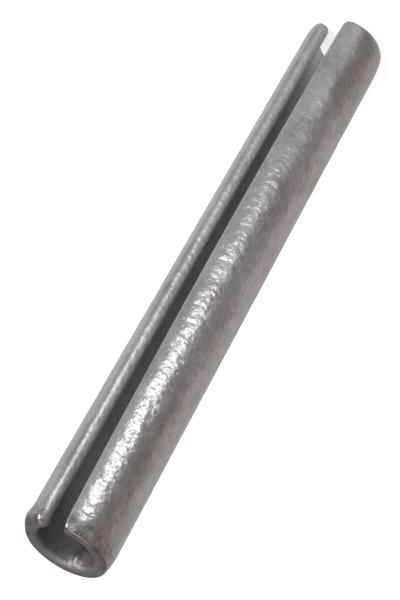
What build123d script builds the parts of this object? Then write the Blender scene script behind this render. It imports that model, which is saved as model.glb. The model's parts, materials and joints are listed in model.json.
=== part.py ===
from build123d import *
import os
from math import cos, degrees, radians, sin

# Slotted spring pin, the heavy kind for an 8 mm hole, 70 mm long. A strip of spring steel is rolled into a
# tube that stays open along one side, and both ends are swaged in so that the pin starts in its hole.
# It would roll on its side, so it stands on one end: both ends are flat rings.
# Z runs along the axis and -Y out through the slot. The origin is on the axis, half way along.
# Lengths are in millimetres and angles in degrees, for the pin sprung open, outside its hole.

# The rolled strip
pin_length = 70.0
free_diameter = 8.7
wall = 1.5

# The slot, its width taken along the outer curve. Its middle faces -Y at mid-length, and rolling carries it
# round the pin a little towards the ends, by a turn that is anticlockwise seen from above.
slot_width = 2.25
slot_facing = -90.0
slot_turn_lower_end = -2.5
slot_turn_upper_end = -6.5

# The swaged lead-in at each end, and the bend where it leaves the straight shank
lead_in_length = 1.4
lead_in_depth = 0.3
lead_in_bend = 1.0

# The strip's corners where the slot meets each end, and its edges outside and in the bore
lower_corner_radius = 1.5
upper_corner_radius = 0.7
outer_edge_round = 0.3
bore_edge_round = 0.25

outer_radius = free_diameter / 2
bore_radius = outer_radius - wall
middle_radius = outer_radius - wall / 2
half_length = pin_length / 2
half_shank = half_length - lead_in_length
slot_half_angle = degrees(slot_width / 2 / outer_radius)
cutter_reach = 2 * outer_radius
cutter_end = half_length + wall


def distance_from_axis(edge, along=0.5):
    """Distance of a point of an edge from the pin's axis."""
    point = edge.position_at(along)
    return (point.X**2 + point.Y**2) ** 0.5


def crosses_wall(edge):
    """True for an edge that runs through the wall, from the bore to the outer surface."""
    start_outside = distance_from_axis(edge, 0) > middle_radius
    end_outside = distance_from_axis(edge, 1) > middle_radius
    return start_outside != end_outside


def is_outside(edge):
    """True for an edge that lies outside the middle of the wall, all along."""
    return distance_from_axis(edge) > middle_radius and not crosses_wall(edge)


# The slot's wedge: radial sides, as a rolled strip's square edges have, swung a little from end to end
with BuildPart() as slot_wedge:
    for station, turn in (
        (-cutter_end, slot_turn_lower_end),
        (0, 0),
        (cutter_end, slot_turn_upper_end),
    ):
        with BuildSketch(Plane.XY.offset(station)):
            with BuildLine():
                one_side = radians(slot_facing + turn - slot_half_angle)
                other_side = radians(slot_facing + turn + slot_half_angle)
                Polyline(
                    (0, 0),
                    (cutter_reach * cos(one_side), cutter_reach * sin(one_side)),
                    (cutter_reach * cos(other_side), cutter_reach * sin(other_side)),
                    close=True,
                )
            make_face()
    loft()

with BuildPart() as roll_pin:
    # The wall, cut along the axis, with its lead-ins, turned into a closed tube
    with BuildSketch(Plane.XZ) as wall_section:
        with BuildLine():
            Polyline(
                (bore_radius, -half_length),
                (outer_radius - lead_in_depth, -half_length),
                (outer_radius, -half_shank),
                (outer_radius, half_shank),
                (outer_radius - lead_in_depth, half_length),
                (bore_radius, half_length),
                close=True,
            )
        make_face()
        shank_ends = wall_section.vertices().filter_by(lambda corner: abs(corner.Y) < half_length)
        fillet(shank_ends, lead_in_bend)
    revolve(axis=Axis.Z)

    # The slot along one side
    add(slot_wedge.part, mode=Mode.SUBTRACT)

    # The strip's four corners, rounded, so that the slot opens out at both ends
    for end, corner_radius in ((0, lower_corner_radius), (-1, upper_corner_radius)):
        end_face = roll_pin.faces().filter_by(Plane.XY).sort_by(Axis.Z)[end]
        fillet(end_face.edges().filter_by(crosses_wall), corner_radius)

    # The edges of the lips, corners and ends, worn round by tumbling, outside and in the bore
    cut_edges = (
        roll_pin.faces().filter_by(Plane.XY) + roll_pin.faces().filter_by(GeomType.BSPLINE)
    ).edges()
    fillet(cut_edges.filter_by(is_outside), outer_edge_round)
    bore_face = roll_pin.faces().sort_by(SortBy.AREA)[-2]
    fillet(bore_face.edges(), bore_edge_round)

roll_pin.part.label = "roll_pin"
os.makedirs("parts", exist_ok=True)
export_step(roll_pin.part, "parts/roll_pin.step")
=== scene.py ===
"""Dresses the slotted spring pin: the rolled strip, its dimpled and plated skin, and the studio.

The pin is made as the real one is. A flat strip gets its corners, its dimples, its thickness and its
rounded edges, and is then swaged at both ends and rolled up round the Z axis.
"""

import json
import math

import bmesh
import bpy
import numpy as np
from bpy.props import (
    FloatProperty,
    FloatVectorProperty,
    IntProperty,
    PointerProperty,
    StringProperty,
)
from mathutils import Matrix, Vector


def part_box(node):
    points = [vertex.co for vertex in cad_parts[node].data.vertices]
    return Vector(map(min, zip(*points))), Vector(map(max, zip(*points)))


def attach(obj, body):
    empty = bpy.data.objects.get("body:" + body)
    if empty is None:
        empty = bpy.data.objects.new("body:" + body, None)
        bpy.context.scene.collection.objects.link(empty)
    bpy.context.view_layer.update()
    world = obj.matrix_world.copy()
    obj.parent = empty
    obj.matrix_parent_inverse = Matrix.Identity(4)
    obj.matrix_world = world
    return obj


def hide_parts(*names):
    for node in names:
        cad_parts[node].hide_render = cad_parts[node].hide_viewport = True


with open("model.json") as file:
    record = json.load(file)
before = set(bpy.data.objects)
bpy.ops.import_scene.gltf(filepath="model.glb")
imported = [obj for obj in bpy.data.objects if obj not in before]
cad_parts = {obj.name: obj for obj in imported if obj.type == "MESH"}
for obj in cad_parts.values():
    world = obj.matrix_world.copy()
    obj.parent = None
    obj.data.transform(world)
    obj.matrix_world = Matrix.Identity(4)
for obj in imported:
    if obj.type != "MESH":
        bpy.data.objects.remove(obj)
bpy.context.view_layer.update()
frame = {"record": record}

bl_info = {
    "name": "Slotted spring pin",
    "version": (1, 0, 0),
    "blender": (4, 5, 0),
    "location": "View3D > Sidebar > Spring Pin",
    "description": "Rolls a slotted spring pin from a strip, plates it and sets it in a studio",
    "category": "Add Mesh",
}

NODE = "roll_pin"
BODY = "root"
MM = 0.001
MOUNTS = {mount["name"]: mount["dims"] for mount in frame["record"]["mounts"]}
OUTER_RADIUS = MOUNTS["shank"]["r_mm"] * MM
BORE_RADIUS = MOUNTS["bore"]["r_mm"] * MM
NODE_LOW, NODE_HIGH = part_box(NODE)
PIN_LENGTH = NODE_HIGH[2] - NODE_LOW[2]


def linear(code):
    """The linear colour, with alpha, of an sRGB hex code."""
    channels = [int(code[i : i + 2], 16) / 255 for i in (0, 2, 4)]
    return [c / 12.92 if c <= 0.04045 else ((c + 0.055) / 1.055) ** 2.4 for c in channels] + [1.0]


def add_node(tree, kind, settings=None, **inputs):
    """Adds a node with its settings, and sets or links its inputs.

    An input goes by its name, with _ for a space, or by its number as _0, _1 and so on.
    """
    node = tree.nodes.new(kind)
    for name, value in (settings or {}).items():
        setattr(node, name, value)
    for name, value in inputs.items():
        key = int(name[1:]) if name[0] == "_" else name.replace("_", " ")
        if isinstance(value, bpy.types.NodeSocket):
            tree.links.new(value, node.inputs[key])
        else:
            node.inputs[key].default_value = value
    return node


class PinSettings(bpy.types.PropertyGroup):
    """Sizes of the strip that the pin is rolled from. The worn lip is the one at the strip's +X side."""

    length: FloatProperty(
        name="Length",
        description="Length of the pin",
        default=PIN_LENGTH,
        unit="LENGTH",
    )
    outer_radius: FloatProperty(
        name="Outer radius",
        description="Radius of the shank",
        default=OUTER_RADIUS,
        unit="LENGTH",
    )
    wall: FloatProperty(
        name="Wall",
        description="Thickness of the strip",
        default=OUTER_RADIUS - BORE_RADIUS,
        unit="LENGTH",
    )
    slot_width: FloatProperty(
        name="Slot width",
        description="Gap along the outer curve",
        default=2.25 * MM,
        unit="LENGTH",
    )
    outer_round: FloatProperty(
        name="Outer edge",
        description="Rounding of the outer edges",
        default=0.3 * MM,
        unit="LENGTH",
    )
    worn_round: FloatProperty(
        name="Worn lip",
        description="Rounding of the worn lip's outer edge",
        default=0.75 * MM,
        unit="LENGTH",
    )
    worn_slant: FloatProperty(
        name="Lip slant",
        description="How far the worn lip's face leans back",
        default=0.5 * MM,
        unit="LENGTH",
    )
    bore_round: FloatProperty(
        name="Bore edge",
        description="Rounding of the edges in the bore",
        default=0.3 * MM,
        unit="LENGTH",
    )
    mouth_round: FloatProperty(
        name="Bore mouth",
        description="Rounding of the bore's upper mouth and of the worn lip's inner edge",
        default=0.55 * MM,
        unit="LENGTH",
    )
    lower_corner: FloatProperty(
        name="Lower corner",
        description="Corner radius of the other lip at the lower end",
        default=0.7 * MM,
        unit="LENGTH",
    )
    worn_corner: FloatProperty(
        name="Worn corner",
        description="Corner radius of the worn lip at the lower end",
        default=1.4 * MM,
        unit="LENGTH",
    )
    sharp_corner: FloatProperty(
        name="Sharp corner",
        description="Corner radius of the other lip at the upper end",
        default=0.3 * MM,
        unit="LENGTH",
    )
    upper_corner: FloatProperty(
        name="Upper corner",
        description="Corner radius of the worn lip at the upper end",
        default=0.7 * MM,
        unit="LENGTH",
    )
    lead_in_length: FloatProperty(
        name="Lead-in length",
        description="Length of each swaged end",
        default=1.4 * MM,
        unit="LENGTH",
    )
    lead_in_depth: FloatProperty(
        name="Upper lead-in",
        description="How far the upper end is swaged in",
        default=0.3 * MM,
        unit="LENGTH",
    )
    lower_lead_in_depth: FloatProperty(
        name="Lower lead-in",
        description="How far the lower end is swaged in",
        default=0.16 * MM,
        unit="LENGTH",
    )
    lower_turn: FloatProperty(
        name="Lower turn",
        description="Turn of the slot at the lower end",
        default=math.radians(-2.5),
        unit="ROTATION",
    )
    upper_turn: FloatProperty(
        name="Upper turn",
        description="Turn of the slot at the upper end",
        default=math.radians(-6.5),
        unit="ROTATION",
    )
    dimple_depth: FloatProperty(
        name="Dimple depth",
        description="Depth of the rolled dimples",
        default=0.05 * MM,
        unit="LENGTH",
    )
    lean: FloatVectorProperty(
        name="Lean",
        description="Fall of the upper end's face along X and Y, as a slope",
        default=(0.079, 0.0279),
        size=2,
    )
    columns: IntProperty(
        name="Columns",
        description="Faces round the pin",
        default=118,
        min=24,
    )
    rows: IntProperty(
        name="Rows",
        description="Faces along the pin",
        default=340,
        min=24,
    )


class PlatingSettings(bpy.types.PropertyGroup):
    """Colours of the plating, as sRGB hex codes. The bore's lighter grey is painted fill light."""

    cool: StringProperty(
        name="Cool grey",
        description="Plating where it is clean",
        default="A3A3A5",
    )
    warm: StringProperty(
        name="Warm grey",
        description="Plating where it is stained",
        default="908B89",
    )
    dark: StringProperty(
        name="Dark grey",
        description="Scale on the hammered end",
        default="7E7976",
    )
    # A darker grey that the bore's painted fill light gives way to towards its upper mouth
    mouth: StringProperty(
        name="Mouth grey",
        description="Stained plating at the bore's mouth",
        default="96929C",
    )
    # Painted fill light: this grey, lighter than the skin's, lights the bore and the slot's cut faces
    inner: StringProperty(
        name="Bore grey",
        description="Thicker, duller plating in the bore",
        default="BBB9BD",
    )


class StudioSettings(bpy.types.PropertyGroup):
    """Where the camera stands."""

    azimuth: FloatProperty(
        name="Azimuth",
        description="Turn from looking along +Y",
        default=math.radians(37.39),
        unit="ROTATION",
    )
    elevation: FloatProperty(
        name="Elevation",
        description="Height over the horizon",
        default=math.radians(36.079),
        unit="ROTATION",
    )
    roll: FloatProperty(
        name="Roll",
        description="Turn about the line of sight",
        default=math.radians(-150.756),
        unit="ROTATION",
    )
    distance: FloatProperty(
        name="Distance",
        description="From the point aimed at",
        default=180.277 * MM,
        unit="LENGTH",
    )
    aim: FloatVectorProperty(
        name="Aim",
        description="Point aimed at",
        default=(0.282 * MM, -0.216 * MM, 4.324 * MM),
        unit="LENGTH",
    )
    lens: FloatProperty(
        name="Lens",
        description="Focal length",
        default=111.72,
        unit="CAMERA",
    )


# The strip

# The outermost row of faces is this much wider than the largest rounding, which has to fit inside it
EDGE_ROW_MARGIN = 1.1

# The rolls leave marks that are longer round the pin than along it
PATTERN_SQUEEZE = (0.6, 1.0)

# The dimples fade out over this margin at the strip's edges
FLAT_MARGIN = 1.2 * MM

# The hammered zone at the upper end: how far down it reaches, and how it fades there and at the rim
HAMMERED_LENGTH = 1.9 * MM
HAMMERED_FADE = 0.5 * MM
RIM_FADE = 0.3 * MM
RIM_SHARE = 0.3

# Level of the cloud pattern that leaves the skin where it is. Most of the pattern lies under it, so the
# skin is pressed in and hardly raised.
CLOUD_LEVEL = 0.75

# A face of the flat strip is on one of its narrow cut sides if it faces the skin less than this
SKIN_FACING = 0.5

# Where the roundings grow to the worn lip's and the mouth's: distance from the edge, and length over which
# they do
LIP_ROUND_FROM = 2.8 * MM
LIP_ROUND_CHANGE = 1.3 * MM
MOUTH_ROUND_FROM = 0.8 * MM
MOUTH_ROUND_CHANGE = 0.7 * MM
ROUNDING_STEPS = 5

# Distance from the worn lip over which its slant grows
SLANT_REACH = 2.5 * MM

# A lump on the outer skin carries the wall down to the first share of its thickness, and one on the inner
# skin carries it from the second share on
OUTER_LUMP_SHARE = 0.6
INNER_LUMP_SHARE = 0.9

# Softness of the bend where a lead-in leaves the shank
LEAD_IN_SOFTNESS = 0.02

# Length of the upper end that leans
LEAN_REACH = 6 * MM


def ramp(value, start, length):
    """0 up to the start, then rising evenly to 1 over the length."""
    return np.clip((value - start) / length, 0, 1)


def coordinates(mesh):
    """The mesh's vertices as rows of x, y and z."""
    flat = np.empty(3 * len(mesh.vertices))
    mesh.vertices.foreach_get("co", flat)
    return flat.reshape(-1, 3)


def put_back(mesh, places):
    """Moves the mesh's vertices to these places."""
    mesh.vertices.foreach_set("co", places.ravel())
    mesh.update()


def widen_edge_rows(across, half, cells, edge_row):
    """Spreads evenly spaced values so that the outermost row on each side is edge_row wide."""
    cell = 2 * half / cells
    inner = half - cell
    scaled = across * (half - edge_row) / inner
    return np.where(np.abs(across) > inner + cell / 2, across, scaled)


def round_corner(x, z, corner_x, corner_z, radius):
    """Carries the square corner at corner_x, corner_z over onto a round one, row by row."""
    side_x, side_z = math.copysign(1, corner_x), math.copysign(1, corner_z)
    centre_x = corner_x - side_x * radius
    centre_z = corner_z - side_z * radius
    a = (x - centre_x) * side_x
    b = (z - centre_z) * side_z
    inside = (a > 0) & (b > 0)
    reach = np.maximum(a, b)
    share = np.divide(np.minimum(a, b), reach, out=np.zeros_like(a), where=inside)
    angle = share * math.pi / 4
    long_side, short_side = reach * np.cos(angle), reach * np.sin(angle)
    new_a = np.where(a >= b, long_side, short_side)
    new_b = np.where(a >= b, short_side, long_side)
    return (
        np.where(inside, centre_x + new_a * side_x, x),
        np.where(inside, centre_z + new_b * side_z, z),
    )


def turn_at(z, pin):
    """Turn of the slot at a height, anticlockwise seen from above: none at mid-length."""
    along = z / (pin.length / 2)
    swing = (pin.upper_turn - pin.lower_turn) / 2
    bow = (pin.upper_turn + pin.lower_turn) / 2
    return swing * along + bow * along**2


def cut_strip(pin):
    """A flat grid in the XZ plane that faces +Y, as long as the pin and as wide as its outer curve."""
    width = 2 * math.pi * pin.outer_radius - pin.slot_width
    bpy.ops.object.select_all(action="DESELECT")
    bpy.ops.mesh.primitive_grid_add(
        x_subdivisions=pin.columns,
        y_subdivisions=pin.rows,
        size=1.0,
        rotation=(-math.pi / 2, 0, 0),
    )
    strip = bpy.context.object
    strip.name = "pin"
    strip.scale = (width, pin.length, 1)
    bpy.ops.object.transform_apply(location=True, rotation=True, scale=True)

    mesh = strip.data
    places = coordinates(mesh)
    edge_row = EDGE_ROW_MARGIN * max(pin.worn_round, pin.mouth_round)
    x = widen_edge_rows(places[:, 0], width / 2, pin.columns, edge_row)
    z = widen_edge_rows(places[:, 2], pin.length / 2, pin.rows, edge_row)
    for side, end, radius in (
        (-1, -1, pin.lower_corner),
        (1, -1, pin.worn_corner),
        (-1, 1, pin.sharp_corner),
        (1, 1, pin.upper_corner),
    ):
        x, z = round_corner(x, z, side * width / 2, end * pin.length / 2, radius)
    put_back(mesh, np.column_stack((x, np.zeros_like(x), z)))
    lay_pattern_map(mesh, width, pin.length)
    return strip


def lay_pattern_map(mesh, width, length):
    """A UV map in which one unit is one millimetre of the flat strip, for the patterns of the skin."""
    layer = mesh.uv_layers.active
    layer.name = "strip"
    corners = np.empty(len(mesh.loops), dtype=np.int32)
    mesh.loops.foreach_get("vertex_index", corners)
    places = coordinates(mesh)[corners]
    uv = np.column_stack((places[:, 0] + width / 2, places[:, 2] + length / 2)) / MM
    layer.uv.foreach_set("vector", uv.astype(np.float32).ravel())


def dimple(strip, pin):
    """Presses the dimples of the rolls and the plating into the strip's outer skin."""
    mesh = strip.data
    uv = np.empty(2 * len(mesh.loops), dtype=np.float32)
    mesh.uv_layers["strip"].uv.foreach_get("vector", uv)
    uv = uv.reshape(-1, 2) * PATTERN_SQUEEZE
    squeezed = mesh.uv_layers.new(name="squeezed")
    squeezed.uv.foreach_set("vector", uv.astype(np.float32).ravel())

    places = coordinates(mesh)
    half_width = (places[:, 0].max() - places[:, 0].min()) / 2
    from_side = half_width - np.abs(places[:, 0])
    from_end = pin.length / 2 - np.abs(places[:, 2])
    from_top = pin.length / 2 - places[:, 2]
    skin = ramp(np.minimum(from_side, from_end), 0, FLAT_MARGIN)
    hammered = np.clip((HAMMERED_LENGTH - from_top) / HAMMERED_FADE, 0, 1)
    hammered = hammered * np.clip(from_top / RIM_FADE, RIM_SHARE, 1)
    # Name, size of the pattern in millimetres, share of the dimple depth, and where it lies
    for name, size, strength, fade in (
        ("waves", 3.0, 1.0, skin),
        ("dimples", 1.1, 1.0, skin),
        ("hammering", 1.6, 2.2, hammered),
    ):
        group = strip.vertex_groups.new(name=name)
        for index, weight in enumerate(fade):
            group.add([index], float(weight), "REPLACE")
        texture = bpy.data.textures.new(name, "CLOUDS")
        texture.noise_scale = size
        texture.noise_depth = 1
        modifier = strip.modifiers.new(name, "DISPLACE")
        modifier.texture = texture
        modifier.texture_coords = "UV"
        modifier.uv_layer = "squeezed"
        modifier.vertex_group = name
        modifier.direction = "Y"
        modifier.mid_level = CLOUD_LEVEL
        modifier.strength = pin.dimple_depth * strength
        bpy.ops.object.modifier_apply(modifier=name)
    mesh.uv_layers.remove(mesh.uv_layers["squeezed"])


def add_wall(strip, pin):
    """Gives the strip its wall, with a plain inner skin straight behind the outer one."""
    solidify = strip.modifiers.new("wall", "SOLIDIFY")
    solidify.thickness = pin.wall
    solidify.offset = -1
    bpy.ops.object.modifier_apply(modifier="wall")
    places = coordinates(strip.data)
    outer, inner = np.split(places, 2)
    inner[:, 0] = outer[:, 0]
    inner[:, 1] = -pin.wall
    inner[:, 2] = outer[:, 2]
    put_back(strip.data, places)


def rounding_at(place, half_width, pin):
    """Radius of the rounded edge at a place on the flat strip's rim."""
    on_lip = ramp(place.x, half_width - LIP_ROUND_FROM, LIP_ROUND_CHANGE)
    if place.y > -pin.wall / 2:
        return pin.outer_round + (pin.worn_round - pin.outer_round) * on_lip
    at_mouth = ramp(place.z, pin.length / 2 - MOUTH_ROUND_FROM, MOUTH_ROUND_CHANGE)
    return pin.bore_round + (pin.mouth_round - pin.bore_round) * max(at_mouth, on_lip)


def round_edges(strip, pin):
    """Rounds the edges between the skins and the strip's cut sides."""
    mesh = strip.data
    half_width = coordinates(mesh)[:, 0].max()
    largest = max(pin.worn_round, pin.mouth_round)
    sheet = bmesh.new()
    sheet.from_mesh(mesh)
    weights = sheet.edges.layers.float.new("bevel_weight_edge")
    for edge in sheet.edges:
        on_cut_side = [abs(face.normal.y) < SKIN_FACING for face in edge.link_faces]
        if any(on_cut_side) and not all(on_cut_side):
            middle = (edge.verts[0].co + edge.verts[1].co) / 2
            edge[weights] = rounding_at(middle, half_width, pin) / largest
    sheet.to_mesh(mesh)
    sheet.free()
    bevel = strip.modifiers.new("edges", "BEVEL")
    bevel.limit_method = "WEIGHT"
    bevel.width = largest
    bevel.segments = ROUNDING_STEPS
    bevel.use_clamp_overlap = False
    bpy.ops.object.modifier_apply(modifier="edges")


def slant_lip(strip, pin):
    """Leans the worn lip's face back, and notes each point's depth in the wall for the plating: its gloss
    and the bore's painted fill light.
    """
    mesh = strip.data
    places = coordinates(mesh)
    depth = np.clip(-places[:, 1] / pin.wall, 0, 1)
    attribute = mesh.attributes.new("depth", "FLOAT", "POINT")
    attribute.data.foreach_set("value", depth.astype(np.float32))
    half_width = places[:, 0].max()
    near_lip = ramp(places[:, 0], half_width - SLANT_REACH, SLANT_REACH) ** 2
    places[:, 0] -= pin.worn_slant * near_lip * (1 - depth)
    put_back(mesh, places)


def raise_lump(strip, pin, x, from_top, spread, height, inner=False):
    """Raises a round lump on one skin, at millimetres round from the back and down from the top."""
    places = coordinates(strip.data)
    if inner:
        carried = places[:, 1] < -INNER_LUMP_SHARE * pin.wall
    else:
        carried = places[:, 1] > -OUTER_LUMP_SHARE * pin.wall
    round_pin = places[:, 0] - x * MM
    along_pin = places[:, 2] - pin.length / 2 + from_top * MM
    reach = np.hypot(round_pin, along_pin) / (spread * MM)
    lift = height * MM * np.exp(-(reach**2) / 2) * carried
    places[:, 1] += -lift if inner else lift
    put_back(strip.data, places)


def swage(strip, pin):
    """Presses the outer skin in towards both ends, and swings the slot round the pin."""
    x, y, z = coordinates(strip.data).T
    from_end = pin.length / 2 - np.abs(z)
    over = np.clip(1 - from_end / pin.lead_in_length, 0, 1)
    level = math.sqrt(LEAD_IN_SOFTNESS)
    ease = (np.sqrt(over**2 + LEAD_IN_SOFTNESS) - level) / (math.sqrt(1 + LEAD_IN_SOFTNESS) - level)
    depth = np.where(z > 0, pin.lead_in_depth, pin.lower_lead_in_depth) * ease
    y = y - depth * (1 + y / pin.wall)
    x = x - turn_at(z, pin) * pin.outer_radius
    put_back(strip.data, np.column_stack((x, y, z)))


def roll_up(strip, pin):
    """Rolls the strip round the Z axis, outer skin at the outer radius, with the slot to -Y."""
    width = np.ptp(coordinates(strip.data)[:, 0])
    bend = strip.modifiers.new("roll", "SIMPLE_DEFORM")
    bend.deform_method = "BEND"
    bend.deform_axis = "Z"
    bend.angle = -width / pin.outer_radius
    bpy.ops.object.modifier_apply(modifier="roll")
    strip.location.y = pin.outer_radius
    bpy.ops.object.transform_apply(location=True, rotation=False, scale=False)
    bpy.ops.object.shade_smooth()


def lean_end(strip, pin):
    """Tips the upper end's face a little, where the strip was cut slightly out of square."""
    x, y, z = coordinates(strip.data).T
    near = ramp(z, pin.length / 2 - LEAN_REACH, LEAN_REACH) ** 2
    z = z - near * (pin.lean[0] * x + pin.lean[1] * y)
    put_back(strip.data, np.column_stack((x, y, z)))


# The plating

# Depth into the wall, as a share of it, over which the skin's finish gives way to the bore's duller one
# and to its lighter grey, which is painted fill light
BORE_FINISH_AND_PAINTED_LIGHT_FROM, BORE_FINISH_AND_PAINTED_LIGHT_TO = 0.1, 0.7

# Millimetres from the lower end: where the scale at the upper end starts and is full, and the same for the
# darker grey at the bore's mouth
SCALE_FROM, SCALE_TO = 67.9, 69.0
MOUTH_FROM, MOUTH_TO = 60.0, 69.0

# Roughness of the skin where the specks are faint and where they are strong, and what the bore adds
CLEAN_ROUGHNESS, SPECKED_ROUGHNESS, BORE_ROUGHNESS = 0.2, 0.34, 0.3

# Height of the orange peel and of the grain
PEEL_HEIGHT = 0.085 * MM
GRAIN_HEIGHT = 0.016 * MM


def plating_colour(tree, colours, space, specks, inside):
    """Clean plating with warm stains and mottling and dark scale at the end; the bore's lighter grey is
    painted fill light, darker towards its upper mouth.
    """
    strip_map = add_node(tree, "ShaderNodeUVMap", {"uv_map": "strip"}).outputs["UV"]
    along = add_node(tree, "ShaderNodeSeparateXYZ", Vector=strip_map).outputs["Y"]

    # Stains about 3 mm across and 8 mm long
    drawn = add_node(tree, "ShaderNodeMapping", Vector=space, Scale=(0.35, 0.35, 0.12))
    stains = add_node(
        tree,
        "ShaderNodeTexNoise",
        Vector=drawn.outputs["Vector"],
        Scale=1.0,
        Detail=4.0,
        Roughness=0.6,
    )
    stained = add_node(
        tree,
        "ShaderNodeMapRange",
        Value=stains.outputs["Fac"],
        From_Min=0.45,
        From_Max=0.68,
    )
    skin = add_node(
        tree,
        "ShaderNodeMix",
        {"data_type": "RGBA"},
        _0=stained.outputs["Result"],
        _6=linear(colours.cool),
        _7=linear(colours.warm),
    )
    mottle = add_node(
        tree,
        "ShaderNodeMapRange",
        Value=specks,
        From_Min=0.3,
        From_Max=0.7,
        To_Min=0.86,
        To_Max=1.1,
    )
    mottled = add_node(
        tree,
        "ShaderNodeMix",
        {"data_type": "RGBA", "blend_type": "MULTIPLY"},
        _0=1.0,
        _6=skin.outputs[2],
        _7=mottle.outputs["Result"],
    )

    # Scale where the specks are faint, in the zone at the upper end
    faint = add_node(tree, "ShaderNodeMapRange", Value=specks, From_Min=0.58, From_Max=0.4)
    end_zone = add_node(
        tree,
        "ShaderNodeMapRange",
        {"interpolation_type": "SMOOTHSTEP"},
        Value=along,
        From_Min=SCALE_FROM,
        From_Max=SCALE_TO,
    )
    scaled = add_node(
        tree,
        "ShaderNodeMath",
        {"operation": "MULTIPLY"},
        _0=faint.outputs["Result"],
        _1=end_zone.outputs["Result"],
    )
    outside = add_node(
        tree,
        "ShaderNodeMix",
        {"data_type": "RGBA"},
        _0=scaled.outputs["Value"],
        _6=mottled.outputs[2],
        _7=linear(colours.dark),
    )

    # The bore's grey: painted fill light, lighter than the skin, and darker towards its upper mouth
    mouth = add_node(
        tree,
        "ShaderNodeMapRange",
        {"interpolation_type": "SMOOTHSTEP"},
        Value=along,
        From_Min=MOUTH_FROM,
        From_Max=MOUTH_TO,
    )
    bore = add_node(
        tree,
        "ShaderNodeMix",
        {"data_type": "RGBA"},
        _0=mouth.outputs["Result"],
        _6=linear(colours.inner),
        _7=linear(colours.mouth),
    )
    # The bore and the slot's cut faces take the lighter grey, which is painted fill light
    colour = add_node(
        tree,
        "ShaderNodeMix",
        {"data_type": "RGBA"},
        _0=inside,
        _6=outside.outputs[2],
        _7=bore.outputs[2],
    )
    return colour.outputs[2]


def plating_bumps(tree, space):
    """An orange-peel skin with a finer grain on it."""
    # Orange peel in cells of about 0.7 mm round the pin and 0.55 mm along it
    stretched = add_node(tree, "ShaderNodeMapping", Vector=space, Scale=(1.2, 1.2, 1.5))
    peel = add_node(
        tree,
        "ShaderNodeTexNoise",
        Vector=stretched.outputs["Vector"],
        Scale=1.2,
        Detail=2.0,
        Roughness=0.45,
    )
    # The real grain is finer than the render can show, so it is drawn 0.4 mm coarse
    grain = add_node(tree, "ShaderNodeTexNoise", Vector=space, Scale=2.6, Detail=1.0, Roughness=0.4)
    peel_bump = add_node(
        tree,
        "ShaderNodeBump",
        Strength=1.0,
        Distance=PEEL_HEIGHT,
        Height=peel.outputs["Fac"],
    )
    grain_bump = add_node(
        tree,
        "ShaderNodeBump",
        Strength=1.0,
        Distance=GRAIN_HEIGHT,
        Height=grain.outputs["Fac"],
        Normal=peel_bump.outputs["Normal"],
    )
    return grain_bump.outputs["Normal"]


def zinc_plating(colours):
    """Dull zinc, plated in a barrel on rolled spring steel."""
    # To the eye this is a satin grey metal. Its orange-peel skin breaks the broad highlight into flecks,
    # and stains, specks and scale make it uneven. In the bore and on the slot's cut faces its grey is
    # painted lighter, as fill light. Scales of the patterns are in cells per millimetre.
    material = bpy.data.materials.new("dull_zinc_on_spring_steel")
    material.use_nodes = True
    tree = material.node_tree
    tree.nodes.clear()

    # Places on the pin in millimetres, and depth into the wall
    metres = add_node(tree, "ShaderNodeTexCoord").outputs["Object"]
    space = add_node(
        tree,
        "ShaderNodeMapping",
        Vector=metres,
        Scale=(1 / MM, 1 / MM, 1 / MM),
    ).outputs["Vector"]
    depth = add_node(tree, "ShaderNodeAttribute", {"attribute_name": "depth"}).outputs["Fac"]
    # Where the bore's duller gloss and its painted fill light take over
    inside = add_node(
        tree,
        "ShaderNodeMapRange",
        Value=depth,
        From_Min=BORE_FINISH_AND_PAINTED_LIGHT_FROM,
        From_Max=BORE_FINISH_AND_PAINTED_LIGHT_TO,
    ).outputs["Result"]

    # Specks about 0.9 mm across, which change both the colour and the gloss
    specks = add_node(
        tree,
        "ShaderNodeTexNoise",
        Vector=space,
        Scale=1.1,
        Detail=4.0,
        Roughness=0.6,
    ).outputs["Fac"]
    skin_roughness = add_node(
        tree,
        "ShaderNodeMapRange",
        Value=specks,
        To_Min=CLEAN_ROUGHNESS,
        To_Max=SPECKED_ROUGHNESS,
    ).outputs["Result"]
    roughness = add_node(
        tree,
        "ShaderNodeMath",
        {"operation": "MULTIPLY_ADD"},
        _0=inside,
        _1=BORE_ROUGHNESS,
        _2=skin_roughness,
    ).outputs["Value"]
    shader = add_node(
        tree,
        "ShaderNodeBsdfPrincipled",
        Base_Color=plating_colour(tree, colours, space, specks, inside),
        Metallic=1.0,
        Roughness=roughness,
        Normal=plating_bumps(tree, space),
    )
    add_node(tree, "ShaderNodeOutputMaterial", Surface=shader.outputs["BSDF"])
    return material


class MESH_OT_spring_pin(bpy.types.Operator):
    """Rolls the pin from its strip and plates it"""

    bl_idname = "mesh.spring_pin"
    bl_label = "Spring pin"

    def execute(self, context):
        pin = context.scene.pin_settings
        strip = cut_strip(pin)
        dimple(strip, pin)
        add_wall(strip, pin)
        round_edges(strip, pin)
        slant_lip(strip, pin)
        # The burr near the worn lip's end, and a bead of plating in the bore
        raise_lump(strip, pin, x=9.9, from_top=0.6, spread=0.7, height=0.3)
        raise_lump(strip, pin, x=0.1, from_top=1.1, spread=0.46, height=0.4, inner=True)
        swage(strip, pin)
        roll_up(strip, pin)
        lean_end(strip, pin)
        strip.data.materials.append(zinc_plating(context.scene.plating_settings))
        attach(strip, BODY)
        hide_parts(NODE)
        return {"FINISHED"}


# The studio

# Side of the square sheet of paper, in metres, and how much the paper glows where the camera sees it
PAPER_SIDE = 4.0
PAPER_GLOW = 0.7

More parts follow.
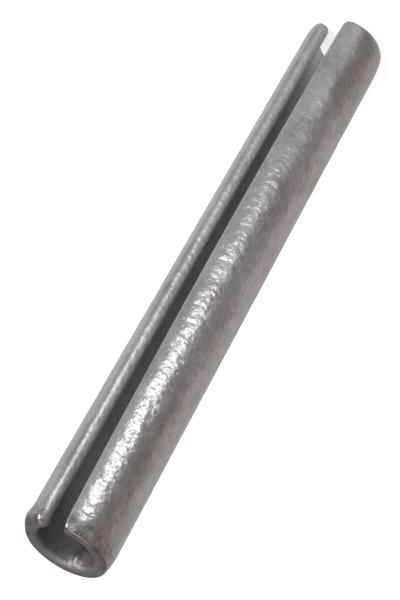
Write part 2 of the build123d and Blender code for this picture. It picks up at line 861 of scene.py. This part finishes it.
# Tone of the surround by compass angle, as the metal mirrors it: grey cards stand between the white ones.
# Angles are in degrees anticlockwise from +X.
CARDS = (
    (-180, "BCB5B4"),
    (-158, "C4BCBA"),
    (-140, "FFFFFF"),
    (-107, "EEEEF2"),
    (-80, "E8E8EE"),
    (-20, "FFFFFF"),
    (30, "F0F0F0"),
    (53, "B0B0B0"),
    (85, "DCD6D2"),
    (140, "ECE4E0"),
    (160, "C8C0BE"),
    (180, "BCB5B4"),
)

# The room over the cards: its tone, and the heights of the line of sight between which it takes over, from
# -1 straight down to 1 straight up
ROOM = "A39E9B"
ROOM_FROM, ROOM_TO = -0.35, 0.3

# Strength of the surround as a light, and as the camera and the metal see it
SURROUND_LIGHT, SURROUND_SEEN = 0.3, 1.0

# The camera's sensor in millimetres, and the nearest distance that it sees in metres
SENSOR_WIDTH = 36.0
NEAREST_SEEN = 0.01


def direction(azimuth, elevation):
    """Unit vector from the pin to a lamp or camera: azimuth 0 is at -Y and 90 degrees at -X."""
    return Vector(
        (
            -math.sin(azimuth) * math.cos(elevation),
            -math.cos(azimuth) * math.cos(elevation),
            math.sin(elevation),
        )
    )


def white_paper():
    """Matt white paper. To the eye it is a plain ground, white all round and faintly grey in the shadow."""
    material = bpy.data.materials.new("matt_white_paper")
    material.use_nodes = True
    tree = material.node_tree
    tree.nodes.clear()
    seen = add_node(tree, "ShaderNodeLightPath").outputs["Is Camera Ray"]
    paper = add_node(tree, "ShaderNodeBsdfDiffuse", Color=linear("F2F2F2"))
    strength = add_node(tree, "ShaderNodeMath", {"operation": "MULTIPLY"}, _0=seen, _1=PAPER_GLOW)
    glow = add_node(
        tree,
        "ShaderNodeEmission",
        Color=linear("FFFFFF"),
        Strength=strength.outputs["Value"],
    )
    lifted = add_node(
        tree,
        "ShaderNodeAddShader",
        _0=paper.outputs["BSDF"],
        _1=glow.outputs["Emission"],
    )
    add_node(tree, "ShaderNodeOutputMaterial", Surface=lifted.outputs["Shader"])
    return material


def white_world():
    """A white surround where it is seen. The metal mirrors its cards, and above them the darker room."""
    world = bpy.data.worlds.new("white_surround")
    bpy.context.scene.world = world
    world.use_nodes = True
    tree = world.node_tree
    tree.nodes.clear()
    rays = add_node(tree, "ShaderNodeLightPath").outputs
    towards = add_node(tree, "ShaderNodeTexCoord").outputs["Generated"]
    compass = add_node(tree, "ShaderNodeTexGradient", {"gradient_type": "RADIAL"}, Vector=towards)
    cards = add_node(tree, "ShaderNodeValToRGB", Fac=compass.outputs["Fac"])
    tones = cards.color_ramp
    tones.interpolation = "EASE"
    while len(tones.elements) < len(CARDS):
        tones.elements.new(0.5)
    for stop, (angle, code) in zip(tones.elements, CARDS):
        stop.position = angle / 360 + 0.5
        stop.color = linear(code)
    height = add_node(tree, "ShaderNodeSeparateXYZ", Vector=towards).outputs["Z"]
    above = add_node(
        tree,
        "ShaderNodeMapRange",
        {"interpolation_type": "SMOOTHSTEP"},
        Value=height,
        From_Min=ROOM_FROM,
        From_Max=ROOM_TO,
    )
    mirrored = add_node(
        tree,
        "ShaderNodeMix",
        {"data_type": "RGBA"},
        _0=above.outputs["Result"],
        _6=cards.outputs["Color"],
        _7=linear(ROOM),
    )
    tone = add_node(
        tree,
        "ShaderNodeMix",
        {"data_type": "RGBA"},
        _0=rays["Is Glossy Ray"],
        _6=linear("FFFFFF"),
        _7=mirrored.outputs[2],
    )
    seen = add_node(
        tree,
        "ShaderNodeMath",
        {"operation": "MAXIMUM"},
        _0=rays["Is Camera Ray"],
        _1=rays["Is Glossy Ray"],
    )
    strength = add_node(
        tree,
        "ShaderNodeMapRange",
        Value=seen.outputs["Value"],
        To_Min=SURROUND_LIGHT,
        To_Max=SURROUND_SEEN,
    )
    surround = add_node(
        tree,
        "ShaderNodeBackground",
        Color=tone.outputs[2],
        Strength=strength.outputs["Result"],
    )
    add_node(tree, "ShaderNodeOutputWorld", Surface=surround.outputs["Background"])


def add_lamp(name, azimuth, elevation, distance, size, power, colour="FFFFFF", aim_height=0):
    """A softbox that faces the pin's axis. Angles are in degrees, lengths in metres, power in watts."""
    lamp = bpy.data.lights.new(name, "AREA")
    lamp.shape = "RECTANGLE"
    lamp.size, lamp.size_y = size
    lamp.energy = power
    lamp.color = linear(colour)[:3]
    holder = bpy.data.objects.new(name, lamp)
    bpy.context.scene.collection.objects.link(holder)
    towards = direction(math.radians(azimuth), math.radians(elevation))
    holder.location = Vector((0, 0, aim_height)) + towards * distance
    holder.rotation_euler = towards.to_track_quat("Z", "Y").to_euler()
    holder.visible_camera = False


def add_lamps():
    """The lamps of the studio.

    The pin stands, so its skin mirrors what is below the horizon. The key lamp is therefore below the
    level of the floor, which mirrored and shadow rays don't meet.
    """
    add_lamp(
        "key",
        azimuth=39.5,
        elevation=-30.6,
        distance=0.15,
        size=(0.05, 0.04),
        power=0.025,
        aim_height=0.027,
    )
    add_lamp(
        "top",
        azimuth=0,
        elevation=75,
        distance=0.6,
        size=(0.4, 0.4),
        power=0.6,
    )
    add_lamp(
        "left_window",
        azimuth=30,
        elevation=17,
        distance=0.3,
        size=(0.04, 0.04),
        power=0.04,
        aim_height=0.034,
    )
    add_lamp(
        "right_window",
        azimuth=-21,
        elevation=17,
        distance=0.3,
        size=(0.05, 0.05),
        power=0.55,
        colour="FFFFE0",
        aim_height=0.034,
    )


class SCENE_OT_pin_studio(bpy.types.Operator):
    """Lays the paper, sets the lamps and places the camera"""

    bl_idname = "scene.pin_studio"
    bl_label = "Pin studio"

    def execute(self, context):
        studio = context.scene.studio_settings
        scene = context.scene
        scene.view_settings.view_transform = "Standard"
        bpy.ops.object.select_all(action="DESELECT")
        bpy.ops.mesh.primitive_plane_add(size=PAPER_SIDE, location=(0, 0, NODE_LOW[2]))
        floor = context.object
        floor.name = "floor"
        bpy.ops.object.transform_apply(location=True, rotation=False, scale=False)
        floor.data.materials.append(white_paper())
        floor.visible_glossy = False
        floor.visible_shadow = False
        white_world()
        add_lamps()

        camera = bpy.data.objects.new("camera", bpy.data.cameras.new("camera"))
        scene.collection.objects.link(camera)
        camera.data.lens = studio.lens
        camera.data.sensor_width = SENSOR_WIDTH
        camera.data.clip_start = NEAREST_SEEN
        towards = direction(studio.azimuth, studio.elevation)
        camera.location = Vector(studio.aim) + towards * studio.distance
        upright = towards.to_track_quat("Z", "Y").to_matrix()
        camera.rotation_euler = (upright @ Matrix.Rotation(studio.roll, 3, "Z")).to_euler()
        scene.camera = camera
        return {"FINISHED"}


class VIEW3D_PT_spring_pin(bpy.types.Panel):
    """Lists the pin's and the studio's operators"""

    bl_label = "Spring Pin"
    bl_space_type = "VIEW_3D"
    bl_region_type = "UI"
    bl_category = "Spring Pin"

    def draw(self, context):
        for operator in (MESH_OT_spring_pin, SCENE_OT_pin_studio):
            self.layout.operator(operator.bl_idname)


CLASSES = (
    PinSettings,
    PlatingSettings,
    StudioSettings,
    MESH_OT_spring_pin,
    SCENE_OT_pin_studio,
    VIEW3D_PT_spring_pin,
)


def register():
    """Registers the classes and hangs the settings on the scene."""
    for cls in CLASSES:
        bpy.utils.register_class(cls)
    bpy.types.Scene.pin_settings = PointerProperty(type=PinSettings)
    bpy.types.Scene.plating_settings = PointerProperty(type=PlatingSettings)
    bpy.types.Scene.studio_settings = PointerProperty(type=StudioSettings)


def unregister():
    """Takes the settings off the scene and the classes out of Blender."""
    del bpy.types.Scene.studio_settings
    del bpy.types.Scene.plating_settings
    del bpy.types.Scene.pin_settings
    for cls in reversed(CLASSES):
        bpy.utils.unregister_class(cls)


def main():
    """Builds everything in order."""
    register()
    bpy.ops.mesh.spring_pin()
    bpy.ops.scene.pin_studio()


if __name__ == "__main__":
    main()
